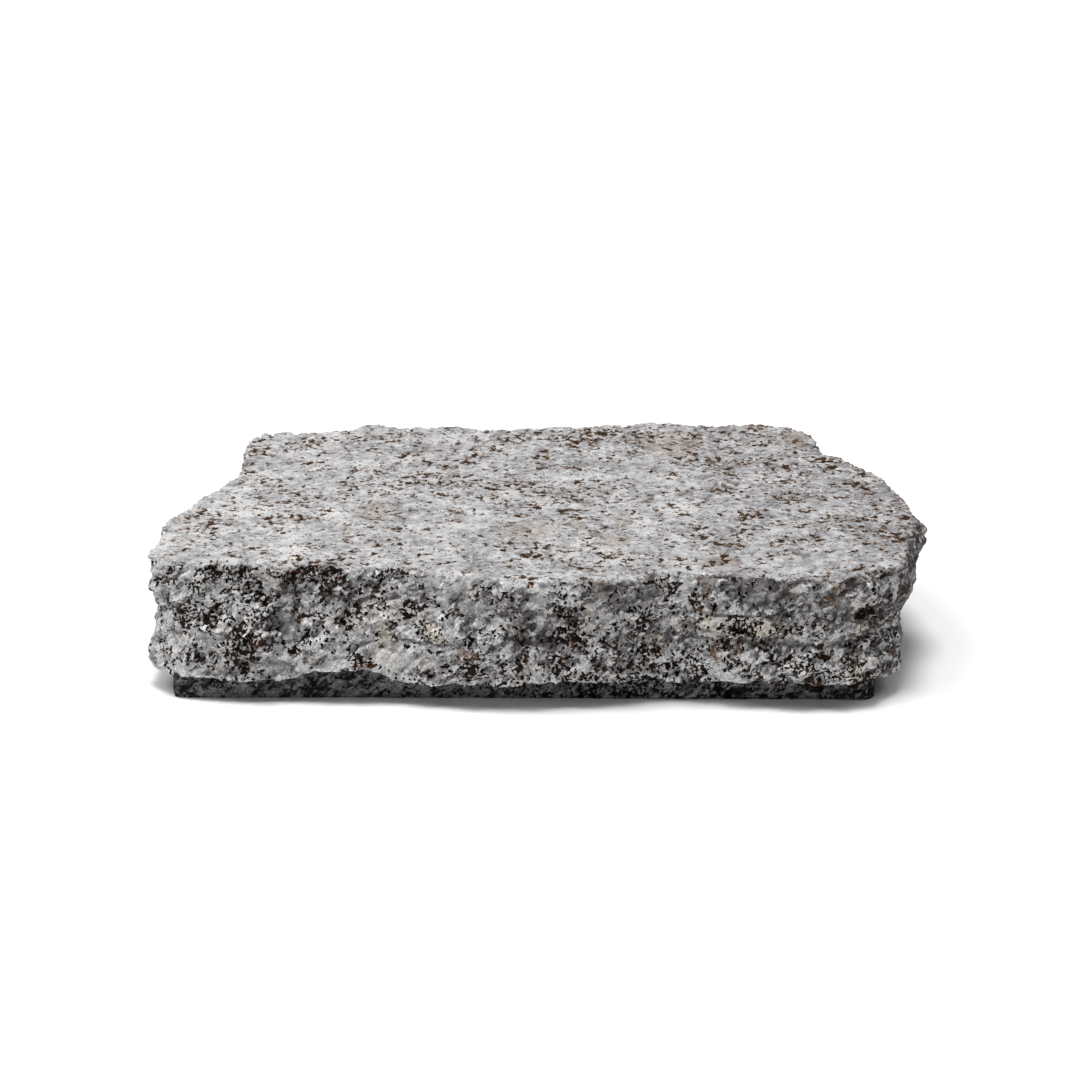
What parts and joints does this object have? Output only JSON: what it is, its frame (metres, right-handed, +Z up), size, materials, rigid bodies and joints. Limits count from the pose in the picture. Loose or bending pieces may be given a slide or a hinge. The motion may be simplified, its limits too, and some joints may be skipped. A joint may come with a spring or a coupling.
{
  "type": "display stone",
  "caption": "Thick granite slab with a flat top, broken sides and an undercut foot, for standing or showing things on.",
  "frame": {"origin": "middle of the bounding box in plan, on the plane of the sole", "axes": "+X along the stone, +Y from the front side to the back, +Z up out of the flat top"},
  "size_m": [0.325, 0.2016, 0.056],
  "materials": {
    "granite": "pale grey medium-grained granite with dark brown mica flecks, matt, rough on the broken sides"
  },
  "bodies": {
    "root": {"stone": "granite"}
  },
  "joints": []
}
